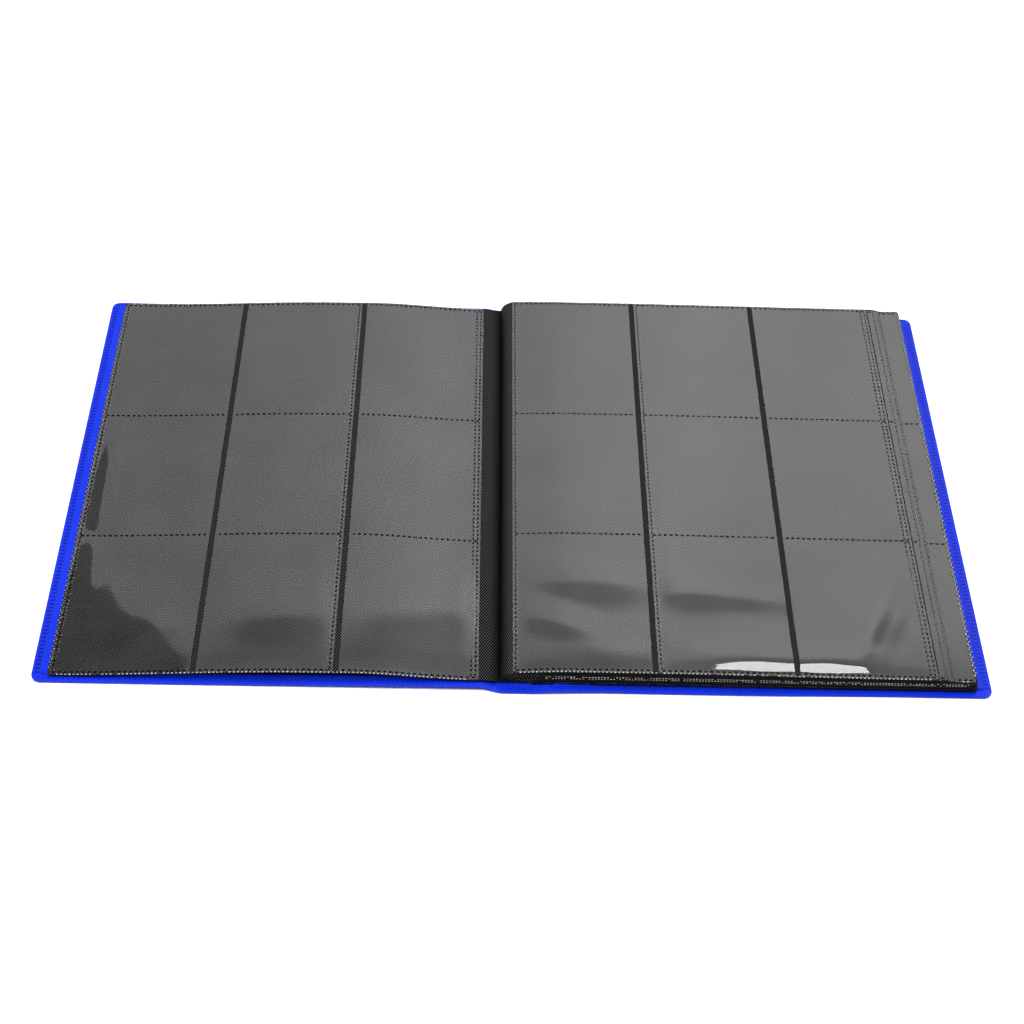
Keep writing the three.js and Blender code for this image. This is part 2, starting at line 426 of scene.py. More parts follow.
def bead_material(name, low, high):
    """Squeezed-out film along a welded page edge; its pale colour is a painted highlight for the light it
    catches.
    """
    n = Nodes(name)
    coords = n.coords()
    cloud = n.noise(coords, 500.0)
    tone = n.ramp(cloud, "Fac", [(0.35, low), (0.7, high)])
    shader = n.add("ShaderNodeBsdfPrincipled", Roughness=0.18)
    n.join(tone, "Color", shader, "Base Color")
    n.join(shader, 0, n.output, "Surface")
    return n.material


def cover_material(name, low, high, roughness):
    """Blue polypropylene, satin, with a faint grain and slight colour clouding."""
    n = Nodes(name)
    coords = n.coords()
    cloud = n.noise(coords, 14.0)
    grain = n.noise(coords, 1500.0, 2.0)
    tone = n.ramp(cloud, "Fac", [(0.3, low), (0.7, high)])
    rough = n.ramp(cloud, "Fac", [(0.3, grey(roughness - 0.05)), (0.7, grey(roughness + 0.06))])
    shader = n.add("ShaderNodeBsdfPrincipled")
    shader.inputs["Specular IOR Level"].default_value = 0.2
    n.join(tone, "Color", shader, "Base Color")
    n.join(rough, "Color", shader, "Roughness")
    n.join(n.bump(grain, "Fac", 0.00002, 0.5), 0, shader, "Normal")
    n.join(shader, 0, n.output, "Surface")
    return n.material


def board_material():
    """Grey board with a fibrous surface."""
    n = Nodes("grey_board")
    coords = n.coords()
    fibre = n.noise(coords, 420.0, 8.0)
    tone = n.ramp(fibre, "Fac", [(0.3, (0.2, 0.19, 0.17)), (0.7, (0.36, 0.35, 0.32))])
    shader = n.add("ShaderNodeBsdfPrincipled", Roughness=0.85)
    n.join(tone, "Color", shader, "Base Color")
    n.join(n.bump(fibre, "Fac", 0.00008), 0, shader, "Normal")
    n.join(shader, 0, n.output, "Surface")
    return n.material


def tape_material():
    """The black binding tape on the spine, with a coarse twill weave."""
    n = Nodes("binding_tape")
    coords = n.coords()
    weave = twill_height(n, coords, -1)
    tone = n.ramp(weave, 0, [(0.0, grey(0.006)), (1.0, grey(0.025))])
    shader = n.add("ShaderNodeBsdfPrincipled", Roughness=0.7)
    n.join(tone, "Color", shader, "Base Color")
    n.join(n.bump(weave, 0, 0.0001), 0, shader, "Normal")
    n.join(shader, 0, n.output, "Surface")
    return n.material


# The backing's rib tones are painted highlights and shade, strong on the left page and faint on the right;
# the margins also carry painted shade at the fold.
TWILL_LEFT = twill_material("twill_left", -1, 0.0002, 0.105)
TWILL_RIGHT = twill_material("twill_right", 1, 0.014, 0.024)
MARGIN_LEFT = twill_material("margin_left", -1, 0.0001, 0.105, fold=True)
MARGIN_RIGHT = twill_material("margin_right", 1, 0.0001, 0.14, fall=0.8, fold=True)
PAGE_EDGE = edge_material()
FILM_CLEAR = film_material()
WELD = weld_material("page_weld", 0.001, 0.005)
WELD_SOFT = weld_material("page_weld_soft", 0.006, 0.02)
# Painted highlights: pale colours for the edge beads and crimp glints, in a bright and a dim copy.
BEAD_HIGHLIGHT = bead_material("weld_bead", (0.27, 0.27, 0.25), (0.7, 0.69, 0.65))
BEAD_HIGHLIGHT_DIM = bead_material("weld_bead_dim", (0.16, 0.16, 0.155), (0.42, 0.42, 0.4))
BLUE = cover_material("cover_blue", (0.003, 0.020, 0.48), (0.005, 0.027, 0.56), 0.5)
BLUE_WELD = cover_material("cover_weld", (0.001, 0.004, 0.15), (0.002, 0.007, 0.22), 0.5)
# Painted light: a paler copy of the weld bar colour for the rows along the near and far rims and the spine,
# for the lower contrast they show in the shade there.
BLUE_SOFT = cover_material("cover_end_weld", (0.002, 0.014, 0.36), (0.004, 0.019, 0.44), 0.5)
BOARD = board_material()
TAPE = tape_material()


# --- mesh helpers -----------------------------------------------------------------------------------
def make_piece(name, verts, faces, material, body, flat=False):
    """A mesh piece from millimetre points, riding on a body."""
    mesh = bpy.data.meshes.new(name)
    mesh.from_pydata([(x * MM, y * MM, z * MM) for x, y, z in verts], [], faces)
    mesh.validate()
    mesh.update()
    if not flat:
        mesh.shade_smooth()
        mesh.set_sharp_from_angle(angle=SHARP_ANGLE)
    mesh.materials.append(material)
    piece = bpy.data.objects.new(name, mesh)
    bpy.context.scene.collection.objects.link(piece)
    if body:
        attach(piece, body)
    return piece


def blacken_edges(piece, faces_end):
    """Gives the cut edges of a sheet the plain black. faces_end tells a face normal to treat."""
    piece.data.materials.append(PAGE_EDGE)
    for polygon in piece.data.polygons:
        if faces_end(polygon.normal):
            polygon.material_index = 1


def spread(a, b, step, fine=()):
    """Positions from a to b about step apart, with extra ones at the fine distances from both ends."""
    count = max(1, round((b - a) / step))
    values = {round(a + (b - a) * i / count, 4) for i in range(count + 1)}
    for f in fine:
        values.add(round(a + f, 4))
        values.add(round(b - f, 4))
    return sorted(values)


def round_corner(x, y, box, radius, sides):
    """Pulls a point near a rounded corner of the box in onto its arc. sides: which x sides are round."""
    x0, x1, y0, y1 = box
    cx = x0 + radius if x < x0 + radius and "low" in sides else None
    if x > x1 - radius and "high" in sides:
        cx = x1 - radius
    cy = y0 + radius if y < y0 + radius else y1 - radius if y > y1 - radius else None
    if cx is None or cy is None:
        return x, y
    dx, dy = x - cx, y - cy
    far = max(abs(dx), abs(dy))
    length = math.hypot(dx, dy)
    if length < 1e-6:
        return x, y
    return cx + dx / length * far, cy + dy / length * far


def layer_faces(nx, ny):
    """Faces of a closed sheet of two layers, each ny rows of nx points, the upper layer first."""
    faces = []
    half = nx * ny
    for j in range(ny - 1):
        for i in range(nx - 1):
            a = j * nx + i
            faces.append((a, a + 1, a + nx + 1, a + nx))
            faces.append((half + a, half + a + nx, half + a + nx + 1, half + a + 1))
    rim = [(i, i + 1) for i in range(nx - 1)]
    rim += [(j * nx + nx - 1, (j + 1) * nx + nx - 1) for j in range(ny - 1)]
    rim += [((ny - 1) * nx + i + 1, (ny - 1) * nx + i) for i in range(nx - 1)]
    rim += [((j + 1) * nx, j * nx) for j in range(ny - 1)]
    for a, b in rim:
        faces.append((b, a, half + a, half + b))
    return faces


def shell(xs, ys, top, bottom, corner=None):
    """Vertices and faces of a closed sheet over a grid. top and bottom give heights at a point."""
    verts = []
    for height in (top, bottom):
        for y in ys:
            for x in xs:
                px, py = corner(x, y) if corner else (x, y)
                verts.append((px, py, height(px, py)))
    return verts, layer_faces(len(xs), len(ys))


# A pad's plan, an eight-sided outline from -1 to 1, and its rings: (share of the length, share of
# the width, share of the thickness), from below the surface up to the smaller top.
PAD_PLAN = ((-1, -0.55), (-0.75, -1), (0.75, -1), (1, -0.55), (1, 0.55), (0.75, 1), (-0.75, 1), (-1, 0.55))
PAD_RINGS = ((1.0, 1.0, -0.4), (1.0, 1.0, 0.35), (0.82, 0.6, 1.0))


def pads(spots, z_at, length, width, thick, up=1):
    """Small bevelled pads lying on a surface. spots: (x, y, angle) of each."""
    verts, faces = [], []
    sides = len(PAD_PLAN)
    order = 1 if up > 0 else -1
    for x, y, angle in spots:
        c, s = math.cos(angle), math.sin(angle)
        first = len(verts)
        for grow_length, grow_width, lift in PAD_RINGS:
            for u, v in PAD_PLAN:
                du, dv = u * length / 2 * grow_length, v * width / 2 * grow_width
                px, py = x + c * du - s * dv, y + s * du + c * dv
                verts.append((px, py, z_at(px, py) + up * lift * thick))
        for ring in range(len(PAD_RINGS) - 1):
            a = first + ring * sides
            b = a + sides
            for i in range(sides):
                j = (i + 1) % sides
                faces.append((a + i, a + j, b + j, b + i)[::order])
        faces.append(tuple(range(b, b + sides))[::order])
        faces.append(tuple(range(first, first + sides))[::-order])
    return verts, faces


def merged(parts):
    """Several (verts, faces) lists as one."""
    verts, faces = [], []
    for v, f in parts:
        base = len(verts)
        verts += v
        faces += [tuple(i + base for i in face) for face in f]
    return verts, faces


def dash_row(x0, y0, x1, y1, pitch, across=False):
    """Evenly spaced spots along a line, turned along it or across it."""
    length = math.hypot(x1 - x0, y1 - y0)
    count = max(1, int(length / pitch))
    angle = math.atan2(y1 - y0, x1 - x0) + (math.pi / 2 if across else 0)
    spots = []
    for i in range(count):
        t = (i + 0.5) / count
        spots.append((x0 + (x1 - x0) * t, y0 + (y1 - y0) * t, angle))
    return spots


# --- cover --------------------------------------------------------------------------------------------
def front_lift(x):
    """How far the front panel is raised towards the spine by the bound pages."""
    return FRONT_LIFT * rise(x, -190, 165)


def back_lift(x):
    """How far the back panel is raised, which it is only close to the spine."""
    return BACK_LIFT * rise(-x, -70, 55)


def edge_distance(x, y, x_outer):
    """Distance in from the nearest free edge of a panel."""
    return min(abs(x_outer - x), COVER_HALF_DEPTH - abs(y))


def near_swell(verts):
    """The cover's near edge swings out a little at the spine, where the bound pages press on it."""
    moved = []
    for x, y, z in verts:
        begin = rise(x, -16, 11)
        ease = 1 - 0.55 * rise(x, 10, 40)
        end = 1 - rise(x, 110, 80)
        reach = NEAR_SWING * begin * ease * end
        moved.append((x, y - reach * rise(-y, 95, 45), z))
    return moved


def cover_welds(name, spots, surface, bar, material, body):
    """Pressed bars on the cover. bar is the length, width and thickness of each."""
    verts, faces = pads(spots, surface, *bar)
    make_piece(name, near_swell(verts), faces, material, body, flat=True)


def end_rows(x0, x1, y_row):
    """Bar positions along the near and the far edge, between two x positions."""
    spots = []
    for y in (-y_row, y_row):
        spots += dash_row(x0, y, x1, y, RIM_BAR_PITCH, True)
    return spots


def cover_panel(prefix, sign, lift):
    """Skin and lining welded round a board: a thin rim, then the padded middle."""
    x_outer = sign * COVER_EDGE
    x_inner = sign * PANEL_START

    def top(x, y):
        d = edge_distance(x, y, x_outer)
        off_rim = rise(d, RIM_WIDTH, PAD_SLOPE)
        off_spine = rise(abs(x - x_inner), INNER_WELD_WIDTH, PAD_SLOPE)
        padding = (COVER_TOP - RIM_TOP) * min(off_rim, off_spine)
        rounding = EDGE_ROUND * rise(d, 0, EDGE_ROUND_WIDTH)
        unevenness = 0.06 * noise.noise(Vector((x / 45, y / 45, 3.0)))
        return RIM_TOP - EDGE_ROUND + rounding + padding + lift(x) + unevenness * off_rim

    def bottom(x, y):
        d = edge_distance(x, y, x_outer)
        return UNDER_ROUND * (1 - rise(d, 0, UNDER_ROUND_WIDTH)) + lift(x)

    low, high = sorted((x_inner, x_outer))
    xs = spread(low, high, 7.0, PANEL_EDGE_LINES)
    ys = spread(-COVER_HALF_DEPTH, COVER_HALF_DEPTH, 7.0, PANEL_EDGE_LINES)
    box = (low, high, -COVER_HALF_DEPTH, COVER_HALF_DEPTH)
    corner = lambda x, y: round_corner(x, y, box, COVER_CORNER, outer_side(sign))
    verts, faces = shell(xs, ys, top, bottom, corner)
    body = f"{prefix}_cover"
    panel = make_piece(f"{prefix}_panel", near_swell(verts), faces, BLUE, body)
    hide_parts(f"{prefix}_outer_skin", f"{prefix}_lining")

    y_row = COVER_HALF_DEPTH - RIM_ROW_INSET
    x_row = x_outer - sign * RIM_ROW_INSET
    spots = dash_row(x_row, -y_row + 2, x_row, y_row - 2, RIM_BAR_PITCH, True)
    cover_welds(f"{prefix}_rim_welds", spots, top, RIM_BAR, BLUE_WELD, body)
    # Painted light: the near and far rows take the paler weld copy.
    spots = end_rows(x_inner + sign * 2, x_row, y_row)
    cover_welds(f"{prefix}_end_welds", spots, top, END_BAR, BLUE_SOFT, body)
    x_pocket = x_inner + sign * POCKET_ROW_INSET
    spots = dash_row(x_pocket, -y_row, x_pocket, y_row, RIM_BAR_PITCH)
    cover_welds(f"{prefix}_pocket_welds", spots, top, POCKET_BAR, BLUE_WELD, body)


def board_piece(name, body, x0, x1, lift):
    """Stiff greyboard inside a panel, following its slight lift."""
    xs = spread(x0, x1, 8.0, (0.4,))
    ys = spread(-BOARD_HALF_DEPTH, BOARD_HALF_DEPTH, 12.0, (0.4,))
    fibres = lambda x, y: 0.02 * noise.noise(Vector((x / 6, y / 6, 1.0)))
    top = lambda x, y: lift(x) + BOARD_TOP + fibres(x, y)
    bottom = lambda x, y: lift(x) + BOARD_BOTTOM
    verts, faces = shell(xs, ys, top, bottom)
    board = make_piece(f"{name}_piece", verts, faces, BOARD, body)
    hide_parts(name)


def spine_panel():
    """The narrow boarded strip that lies on the table between the two creases."""
    half = CREASE - SPINE_GAP

    def top(x, y):
        off_rim = rise(COVER_HALF_DEPTH - abs(y), RIM_WIDTH, PAD_SLOPE)
        off_crease = rise(half - abs(x), 0.4, 0.9)
        return SPINE_RIM_TOP + (COVER_TOP - RIM_TOP) * off_rim * off_crease

    xs = spread(-half, half, 1.2)
    ys = spread(-COVER_HALF_DEPTH, COVER_HALF_DEPTH, 8.0, (0.3, 3.8, 4.2, 4.6, 5.0))
    verts, faces = shell(xs, ys, top, lambda x, y: 0.0)
    panel = make_piece("spine_panel", near_swell(verts), faces, BLUE, "spine")
    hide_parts("spine_outer_skin", "spine_lining")
    # Painted light: the spine's rows take the paler weld copy.
    spots = end_rows(-half, half, COVER_HALF_DEPTH - SPINE_ROW_INSET)
    cover_welds("spine_rim_welds", spots, top, END_BAR, BLUE_SOFT, "spine")


def hinge_piece(prefix, sign, lift):
    """Flexible double skin over a crease, joined to both panels."""
    x_panel = sign * (PANEL_START + HINGE_LAP_PANEL)
    x_spine = sign * (CREASE - HINGE_LAP_SPINE)
    raised = lift(x_panel)

    def base(x):
        return raised * rise(abs(x), CREASE - 1.0, PANEL_START - CREASE + 1.0)

    groove = lambda x: GROOVE_DEPTH * math.exp(-((abs(x) - CREASE) / GROOVE_WIDTH) ** 2)
    top = lambda x, y: base(x) + HINGE_THICKNESS - groove(x)
    bottom = lambda x, y: base(x) + groove(x)
    low, high = sorted((x_panel, x_spine))
    xs = spread(low, high, 0.45)
    ys = spread(-COVER_HALF_DEPTH, COVER_HALF_DEPTH, 12.0, (0.3,))
    verts, faces = shell(xs, ys, top, bottom)
    strip = make_piece(f"{prefix}_hinge", near_swell(verts), faces, BLUE, None)
    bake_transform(strip)
    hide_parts(f"{prefix}_hinge_strip")


# --- page shapes ----------------------------------------------------------------------------------------
def left_arch(x, y):
    """The left page rises off the cover in a soft arch, highest beside the inner entry strip."""
    outer = rise(x, LEFT_INNER - LEFT_WIDTH, 118)
    inner = rise(-x, -LEFT_INNER, 66)
    middle = rise(x, -229, 60) * rise(-x, 20, 60)
    tilt = LEFT_TILT * middle * (-y / PAGE_HALF_DEPTH)
    return front_lift(x) + LEFT_ARCH * outer * inner + tilt


def right_arch(x, y):
    """The stack is fullest a little way in from the spine, and fuller near the reader."""
    full = rise(x, -6, 34) * rise(-x, -215, 150)
    return RIGHT_ARCH * full * (1 - NEAR_FULLNESS * y / PAGE_HALF_DEPTH)


def page_height(k):
    """A function of x and y giving the height of page k's middle."""
    if k == 1:
        return lambda x, y: LOWEST_PAGE + left_arch(x, y)
    share = max(0.0, (level(k) - NOSE_Z) / (level(2) - NOSE_Z))
    return lambda x, y: level(k) + right_arch(x, y) * share


def columns(k):
    """(inner, outer, which edge is welded) of the three films, from the spine outwards."""
    sign = direction(k)
    end = outer_edge(k)
    start = end - RIGHT_WIDTH if k > 5 else inner_edge(k)
    bare = NARROW_BARE_EDGE if 3 <= k <= 5 else BARE_EDGE
    half_gap = ENTRY_GAP / 2
    first_end = start + sign * (COLUMN_PITCH - half_gap)
    second_start = start + sign * (COLUMN_PITCH + half_gap)
    second_end = start + sign * (2 * COLUMN_PITCH - half_gap)
    third_start = start + sign * (2 * COLUMN_PITCH + half_gap)
    return [
        (start, first_end, "inner"),
        (second_start, second_end, "inner"),
        (third_start, end - sign * bare, "outer"),
    ]


# Soft folds of the loose film near the reader, by (left page, column):
# each is (x, y, length, width, height, turn), in millimetres and radians.
FOLDS = {
    (True, 0): (
        (-50, -98, 50, 21, 1.1, 0.14),
        (-60, -124, 30, 9, 0.12, 0.0),
    ),
    (True, 1): (
        (-119, -104, 30, 16, 0.9, 0.0),
        (-102, -70, 7, 34, 0.2, 0.1),
    ),
    (True, 2): (
        (-205, -100, 16, 26, 0.3, 0.3),
        (-219, -20, 6, 60, 0.3, 0.0),
        (-180, -112, 16, 8, 0.25, 0.2),
    ),
    (False, 0): (
        (42, -80, 38, 14, 1.0, -0.08),
        (20, -109, 22, 9, 0.6, -0.45),
        (48, -130, 30, 6, 0.22, -0.05),
    ),
    (False, 1): (
        (88, -87, 18, 13, 0.55, 0.0),
        (118, -90, 44, 8, 0.5, -0.07),
        (134, -131, 32, 8.5, 1.0, 0.0),
    ),
    (False, 2): (
        (152, -131, 24, 8.5, 1.0, 0.04),
        (187, -99, 27, 3.2, 1.0, 1.17),
        (194, -103, 22, 2.4, 0.45, 1.17),
    ),
}


def fold_height(x, y, fold):
    """Height of one soft fold at a point: a long bell over its turned length and width."""
    fold_x, fold_y, length, width, height, turn = fold
    du, dv = x - fold_x, y - fold_y
    c, s = math.cos(turn), math.sin(turn)
    a = (du * c + dv * s) / length
    b = (dv * c - du * s) / width
    return height * math.exp(-a * a - b * b)


def pocket_puff(x, y, column, seed):
    """How far the loose film stands off the backing inside a pocket: none at the welds."""
    inner, outer, welded = column
    u = min(1.0, max(0.0, (x - inner) / (outer - inner)))
    from_weld = 1 - u if welded == "outer" else u
    across = rise(from_weld, 0, 1 / 7) * (1 - 0.3 * rise(from_weld, 0.65, 0.35))
    rows = (-PAGE_HALF_DEPTH + FILM_WELD_INSET, *ROW_WELDS, PAGE_HALF_DEPTH - FILM_WELD_INSET)
    gap = min(abs(y - row) for row in rows)
    steep = outer > 0 and y < -PAGE_HALF_DEPTH + STEEP_ZONE
    along = smooth(gap / (STEEP_RISE if steep else SOFT_RISE))
    wave = noise.noise(Vector((x / 42 + seed, y / 34, seed * 1.7)))
    fine = noise.noise(Vector((x / 15, y / 19 + seed, 5 + seed)))
    depth = 0.1 + 0.1 * wave + 0.02 * fine
    for fold in FOLDS[outer < 0, round(abs(inner) / COLUMN_PITCH)]:
        depth += fold_height(x, y, fold)
    return across * along * max(0.0, depth)


def flatten(piece):
    """Gives the piece a mesh of its own."""
    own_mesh(piece)


def pocket_films(k, side, name):
    """The three clear films on one face of page k, finest on the two faces that lie open."""
    z = page_height(k)
    sign = direction(k)
    half = PAGE_HALF_DEPTH - FILM_INSET
    seed = k * 3.7 + (0.0 if side > 0 else 1.9)
    open_face = side > 0 and k <= 2
    step = FINE_STEP if open_face else COARSE_STEP
    puff = 1.0 if open_face else 0.3 if k == 1 or side > 0 else 0.1
    base = BACKING / 2 + FILM_CLEARANCE
    films = []
    for column in columns(k):
        low, high = sorted(column[:2])
        xs = spread(low, high, step, (1.2,))
        ys = spread(-half, half, step * 1.15, (0.8, 1.6, 3.0))
        box = (low, high, -half, half)
        sides = outer_side(sign) if column[2] == "outer" else ()

        def surface(height):
            return lambda x, y: z(x, y) + side * (base + height + puff * pocket_puff(x, y, column, seed))

        corner = lambda x, y: round_corner(x, y, box, PAGE_CORNER, sides)
        top, bottom = (FILM, 0.0) if side > 0 else (0.0, FILM)
        films.append(shell(xs, ys, surface(top), surface(bottom), corner))
    verts, faces = merged(films)
    piece = make_piece(f"{name}_films", verts, faces, FILM_CLEAR, page_body(k))
    if k <= 2:
        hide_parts(*[f"{name}_film_{i}" for i in (1, 2, 3)])
    flatten(piece)


def pocket_welds(k, side, name):
    """The pressed dashes on one face of page k, and on pages 1 and 2 the crimp glints beside them, pale
    pads that are painted highlights.
    """
    z = page_height(k)
    sign = direction(k)
    y_edge = PAGE_HALF_DEPTH - EDGE_ROW_INSET
    line_inset = 1.5 if k <= 2 else 0.7
    up_the_page = lambda x, pitch: dash_row(x, -y_edge, x, y_edge, pitch)
    rows, lines, glints = [], [], []
    for index, (inner, outer, welded) in enumerate(columns(k)):
        for y in (-y_edge, *ROW_WELDS, y_edge):
            rows += dash_row(inner + sign, y, outer - sign, y, DASH_PITCH)
        away = sign if welded == "inner" else -sign
        x_weld = (inner if welded == "inner" else outer) + away * line_inset
        if (k, index) != HIDDEN_LINE:
            lines += up_the_page(x_weld, COLUMN_DASH_PITCH)
        if (k, index) in DOUBLE_LINES:
            lines += up_the_page(x_weld + away * DOUBLE_LINE_GAP, COLUMN_DASH_PITCH)
        if k <= 2:
            for offset, share in CRIMP_GLINT_LINES:
                glints += up_the_page(x_weld + away * offset, DASH_PITCH * share)
    offset = BACKING / 2 + FILM_CLEARANCE + FILM + 0.02
    on_face = lambda x, y: z(x, y) + side * offset
    column_width = 0.9 if k <= 2 else 0.45
    column_weld = WELD if k == 1 else WELD_SOFT
    kinds = (("row", rows, ROW_DASH_WIDTH, WELD), ("column", lines, column_width, column_weld))
    for kind, spots, width, material in kinds:
        verts, faces = pads(spots, on_face, DASH_LENGTH, width, DASH_THICKNESS, side)
        piece_name = f"{name}_{kind}_welds"
        welds = make_piece(piece_name, verts, faces, material, page_body(k), flat=True)
        flatten(welds)
    # Painted highlights: pale pads scattered beside the welds stand in for glints off the crimped film.
    if k <= 2:
        rng = random.Random(500 + k)
        turned = []
        for x, y, angle in glints:
            if rng.random() < CRIMP_GLINT_SHARE:
                x += rng.uniform(-0.35, 0.35)
                y += rng.uniform(-0.4, 0.4)
                turned.append((x, y, rng.uniform(0, 3.1)))
        verts, faces = pads(turned, on_face, *CRIMP_GLINT, side)
        crimp_glints = make_piece(f"{name}_crimps", verts, faces, BEAD_HIGHLIGHT_DIM, page_body(k), flat=True)
        flatten(crimp_glints)


def page_side(k, side):
    """Films and welds on one face of page k. side is 1 for the face that looks up at rest."""
    name = f"page_{k:02d}_{'front' if side > 0 else 'back'}"
    pocket_films(k, side, name)
    pocket_welds(k, side, name)


def page_sheet(k):
    """The backing sheet of page k, or the whole laminate of a page deeper in the stack."""
    z = page_height(k)
    low, high = sorted((inner_edge(k), outer_edge(k)))
    thick = BACKING / 2
    rng = random.Random(100 + k)
    slip = 0.0 if k <= 2 else rng.uniform(-0.35, 0.45)
    slip += 0.5 * rng.uniform(-0.3, 0.3)
    xs = spread(low, high, 8.0, (0.5, 1.5, 3.0))
    ys = spread(-PAGE_HALF_DEPTH, PAGE_HALF_DEPTH, 9.0, (0.5, 1.5, 3.0))
    box = (low, high, -PAGE_HALF_DEPTH, PAGE_HALF_DEPTH)

    def corner(x, y):
        px, py = round_corner(x, y, box, PAGE_CORNER, outer_side(direction(k)))
        return px, py + slip

    verts, faces = shell(xs, ys, lambda x, y: z(x, y) + thick, lambda x, y: z(x, y) - thick, corner)
    material = TWILL_LEFT if k == 1 else TWILL_RIGHT
    sheet = make_piece(f"page_{k:02d}_sheet", verts, faces, material, page_body(k))
    blacken_edges(sheet, lambda normal: abs(normal.z) < 0.3)
    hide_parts(f"page_{k:02d}_backing" if k <= 2 else f"page_{k:02d}")
    flatten(sheet)
    if k in OPEN_PAGES or k % 3 == 0:
        edge_beads(k, slip, rng)


def edge_beads(k, slip, rng):
    """Little melted beads where the films are welded at a page's short edges, and on pages 1 and 6
    a zigzag of them down the outer edge. Pages deep in the stack show them only as a broken line.
    Their pale colour is a painted highlight, dimmer on the lowest pages."""
    z = page_height(k)
    sign = direction(k)
    outer = outer_edge(k)
    open_face = k in OPEN_PAGES
    lift = BACKING / 2 + FILM + 0.03 if open_face else 0.0
    on_top = lambda x, y: z(x, y) + lift
    bead, pitch, share = OPEN_BEADS if open_face else STACK_BEADS
    start = RIGHT_INNER + RIGHT_WIDTH + UPPER_STEPS[-1] + 1 if k == 6 else inner_edge(k) + sign * 2
    parts = []
    for end in (-1, 1):
        y = end * (PAGE_HALF_DEPTH - (0.45 if open_face else 0.1)) + slip
        phase = rng.uniform(0, 1.2)
        spots = dash_row(start + phase, y, outer - sign * 4, y, pitch)
        kept = [spot for spot in spots if rng.random() < share]
        parts.append(pads(kept, on_top, *bead))
    if open_face and k != 2:
        x = outer - sign * 0.5
        spots = dash_row(x, -PAGE_HALF_DEPTH + 4, x, PAGE_HALF_DEPTH - 4, ZIGZAG_PITCH)
        zigzag = []
        for i, (px, py, angle) in enumerate(spots):
            swing = ZIGZAG_SWING if i % 2 else -ZIGZAG_SWING
            zigzag.append((px + swing, py, ZIGZAG_TURNS[i % 2]))
        parts.append(pads(zigzag, on_top, *(ZIGZAG_BEAD_LEFT if k == 1 else ZIGZAG_BEAD)))
    verts, faces = merged(parts)
    # Painted highlight: the bright bead colour, and the dim copy on the three lowest pages.
    material = BEAD_HIGHLIGHT if open_face or k < 18 else BEAD_HIGHLIGHT_DIM
    beads = make_piece(f"page_{k:02d}_edge_beads", verts, faces, material, page_body(k))
    flatten(beads)


# --- bound margins --------------------------------------------------------------------------------------
def left_margin_profile():
    """(x, z) points along page 1's margin, from the page down to the binding tape."""
    top = page_height(1)(LEFT_INNER, 0)
    steps = 8
    pts = []
    for i in range(steps + 1):
        t = i / steps
        drop = (LEFT_MARGIN_END - top) * smooth(t * 0.9 + 0.05)
        crown = 0.35 * math.sin(math.pi * t)
        pts.append((LEFT_INNER + LEFT_MARGIN_WIDTH * t, top + drop + crown))
    return pts


def margin_profile(k):
    """(x, z) points along a right-hand page's margin: level at first, then rolled round the nose."""
    start = inner_edge(k)
    z = level(k)
    radius = z - NOSE_Z
    reaches_in = start > NOSE_X
    pts = []
    if reaches_in:
        for i in range(4):
            pts.append((start + (NOSE_X - start) * i / 4, z))
    if radius < 0.35:
        pts.append((NOSE_X, z))
        return pts
    wide = radius * NOSE_SWELL
    first = math.pi / 2 if reaches_in else math.acos((start - NOSE_X) / wide)
    last = 1.08 * math.pi
    lift = z - NOSE_Z - radius * math.sin(first)
    steps = 14
    for i in range(steps + 1):
        t = i / steps
        angle = first + (last - first) * t
        pts.append((NOSE_X + wide * math.cos(angle), NOSE_Z + radius * math.sin(angle) + lift * (1 - t)))
    return pts


def margin_sheet(k, pts):
    """A thin sheet swept along the spine over the points of a margin's profile."""
    arch = page_height(k)
    count = len(pts)
    half = PAGE_HALF_DEPTH - 0.3
    ys = spread(-half, half, 9.0, (0.6,))
    thick = BACKING / 2 + 0.02
    at_rest = arch(pts[0][0], 0) if k == 1 else level(k)
    slide = 0.0 if k <= 2 else random.Random(300 + k).uniform(-0.3, 0.3)
    normals = []
    for i in range(count):
        a, b = pts[max(0, i - 1)], pts[min(count - 1, i + 1)]
        dx, dz = b[0] - a[0], b[1] - a[1]
        length = math.hypot(dx, dz)
        normals.append((-dz / length, dx / length))
    verts = []
    for side in (1, -1):
        for y in ys:
            extra = arch(pts[0][0], y) - at_rest
            for i, (x, z) in enumerate(pts):
                nx, nz = normals[i]
                ease = (1 - i / (count - 1)) ** 1.5
                verts.append((x + side * thick * nx, y + slide, z + side * thick * nz + extra * ease))
    return verts, layer_faces(count, len(ys))


def margin_piece(body, name, parts, material, node=None):
    """Bound margins that ride on a body, with black cut edges."""
    verts, faces = merged(parts)
    piece = make_piece(name, verts, faces, material, body)
    blacken_edges(piece, lambda normal: abs(normal.y) > 0.7)
    if node:
        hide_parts(node)
    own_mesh(piece)


def margins():
    """The left page's margin, the flaps of pages 2 to 4, and the rolled margins that make the nose."""
    left = margin_sheet(1, left_margin_profile())
    margin_piece("page_01", "page_01_bound_margin", [left], MARGIN_LEFT, "page_01_margin")
    noses = []
    for k in (2, 3, 4, 5):
        pts = margin_profile(k)
        if k < 5:
            flap = margin_sheet(k, pts[:FLAP_POINTS + 1])
            margin_piece(f"page_{k:02d}", f"page_{k:02d}_margin_flap", [flap], MARGIN_RIGHT,
                         f"page_{k:02d}_margin")
            pts = pts[FLAP_POINTS:]
        noses.append(margin_sheet(k, pts))
    margin_piece("upper_binding", "upper_bound_margins", noses, MARGIN_RIGHT,
                 "page_05_margin")
    for s in (2, 3, 4):
        bands = [margin_sheet(k, margin_profile(k)) for k in range(5 * s - 4, 5 * s + 1)]
        margin_piece(f"signature_{s}", f"signature_{s}_bound_margins", bands, MARGIN_RIGHT,
                     f"signature_{s}_margin")


